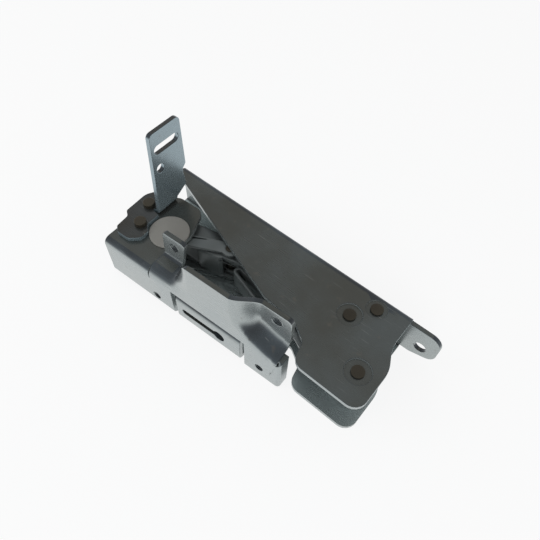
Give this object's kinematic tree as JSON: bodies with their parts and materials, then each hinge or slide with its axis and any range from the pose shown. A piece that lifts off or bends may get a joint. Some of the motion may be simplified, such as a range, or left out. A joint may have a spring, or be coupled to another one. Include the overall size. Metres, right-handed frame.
{
  "type": "fridge door hinge",
  "caption": "Folded-sheet hinge for a built-in fridge door, with a channel housing, crossed arms and an adjustable door bracket with screw ears.",
  "frame": {"origin": "centre of the housing's web length and plate depth, on the underside of the bottom plate", "axes": "+X along the housing to its screw ear, +Y to the housing's web, +Z along the pivots, up from the bottom plate"},
  "size_m": [0.1337, 0.0517, 0.0618],
  "materials": {
    "zinc_plate": "zinc plated, satin to bright",
    "pin_steel": "dark, satin",
    "arm_steel": "dark zinc, satin",
    "disc_grey": "matt"
  },
  "bodies": {
    "housing": {"housing": "zinc_plate", "main_pivot_pin": "pin_steel", "link_pivot_pin": "pin_steel", "stop_pin": "pin_steel", "main_pivot_washers": "arm_steel", "link_pivot_tube": "arm_steel", "stop_roller": "arm_steel"},
    "main_arm": {"main_arm": "arm_steel", "crossing_pin": "pin_steel", "crossing_tube": "arm_steel", "link_end_pin": "pin_steel", "closing_spring": "arm_steel"},
    "door_arm": {"door_arm": "arm_steel", "arm_end_stud": "pin_steel"},
    "door_bracket": {"door_bracket": "zinc_plate", "panel_bracket": "zinc_plate", "cover_disc": "disc_grey", "door_arm_pin": "pin_steel", "door_link_pin": "pin_steel", "door_arm_washers": "arm_steel", "door_arm_tube": "arm_steel", "door_link_tube": "arm_steel"},
    "housing_link": {"housing_link": "arm_steel"},
    "door_link": {"door_link": "arm_steel"},
    "adjusting_slide": {"adjusting_slide": "zinc_plate"}
  },
  "joints": [
    {"name": "door_swing", "type": "hinge", "parent": "housing", "child": "main_arm", "pos_m": [0.056, -0.0097, 0.011], "axis": [0, 0, 1], "range_deg": [0, 80.1]},
    {"name": "arm_crossing", "type": "hinge", "parent": "main_arm", "child": "door_arm", "pos_m": [-0.00037, 0.00572, 0.011], "axis": [0, 0, 1], "range_deg": [0, 10.6]},
    {"name": "bracket_turn", "type": "hinge", "parent": "door_arm", "child": "door_bracket", "pos_m": [-0.0525, -0.00612, 0.011], "axis": [0, 0, 1], "range_deg": [0, 1.6]},
    {"name": "housing_link_turn", "type": "hinge", "parent": "housing", "child": "housing_link", "pos_m": [0.0475, 0.0155, 0.011], "axis": [0, 0, 1], "range_deg": [0, 11.6]},
    {"name": "door_link_turn", "type": "hinge", "parent": "main_arm", "child": "door_link", "pos_m": [-0.01384, 0.0019, 0.011], "axis": [0, 0, 1], "range_deg": [0, 14.2]},
    {"name": "slide_adjust", "type": "slide", "parent": "door_bracket", "child": "adjusting_slide", "axis": [0.9984, 0.0565, 0], "range_m": [-0.0015, 0.0015]}
  ],
  "couplings": [
    {"joint": "arm_crossing", "follows": "door_swing", "ratio": 0.1299},
    {"joint": "bracket_turn", "follows": "door_swing", "ratio": 0.0182},
    {"joint": "housing_link_turn", "follows": "door_swing", "ratio": 0.1429},
    {"joint": "door_link_turn", "follows": "door_swing", "ratio": 0.1744}
  ]
}
